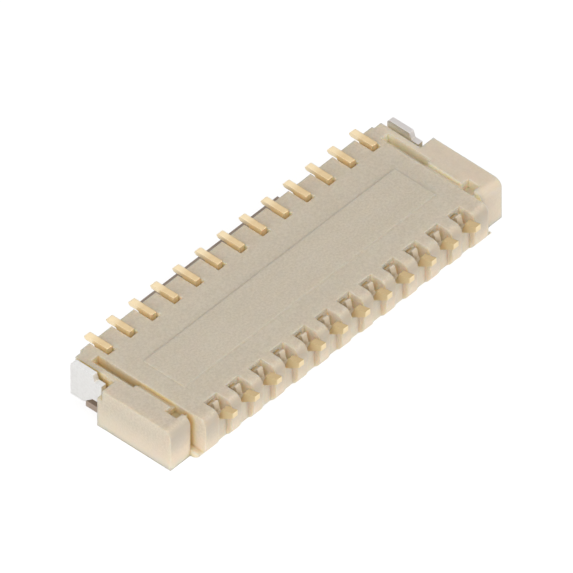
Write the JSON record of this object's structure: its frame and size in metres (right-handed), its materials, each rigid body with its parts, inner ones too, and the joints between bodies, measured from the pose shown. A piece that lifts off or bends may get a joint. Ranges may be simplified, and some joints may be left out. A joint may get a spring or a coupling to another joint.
{
  "type": "fpc connector",
  "caption": "Low surface-mount connector for a flat flexible cable, with staggered contacts, a flip lever and soldered end plates.",
  "frame": {"origin": "under the middle of the housing, on the plane that its cover lies on", "axes": "+X along the contact rows, +Y out of the cable mouth, +Z out of the solder face: the part lies turned over, solder side up, as pictured"},
  "size_m": [0.009, 0.0036, 0.001],
  "materials": {
    "housing_plastic": "moulded, slightly translucent beige",
    "contact_gold": "gold plate, soft shine",
    "hold_down_tin": "matt tin plate",
    "lever_plastic": "moulded, dark brown"
  },
  "bodies": {
    "connector": {"housing": "housing_plastic", "front_contact_01": "contact_gold", "front_contact_02": "contact_gold", "front_contact_03": "contact_gold", "front_contact_04": "contact_gold", "front_contact_05": "contact_gold", "front_contact_06": "contact_gold", "front_contact_07": "contact_gold", "front_contact_08": "contact_gold", "front_contact_09": "contact_gold", "front_contact_10": "contact_gold", "front_contact_11": "contact_gold", "front_contact_12": "contact_gold", "front_contact_13": "contact_gold", "rear_contact_01": "contact_gold", "rear_contact_02": "contact_gold", "rear_contact_03": "contact_gold", "rear_contact_04": "contact_gold", "rear_contact_05": "contact_gold", "rear_contact_06": "contact_gold", "rear_contact_07": "contact_gold", "rear_contact_08": "contact_gold", "rear_contact_09": "contact_gold", "rear_contact_10": "contact_gold", "rear_contact_11": "contact_gold", "rear_contact_12": "contact_gold", "hold_down_left": "hold_down_tin", "hold_down_right": "hold_down_tin"},
    "lever_body": {"lever": "lever_plastic"}
  },
  "joints": [
    {"name": "lever_hinge", "type": "hinge", "parent": "connector", "child": "lever_body", "pos_m": [0, 0.00048, 0.00025], "axis": [-1, 0, 0], "range_deg": [0, 90]}
  ]
}
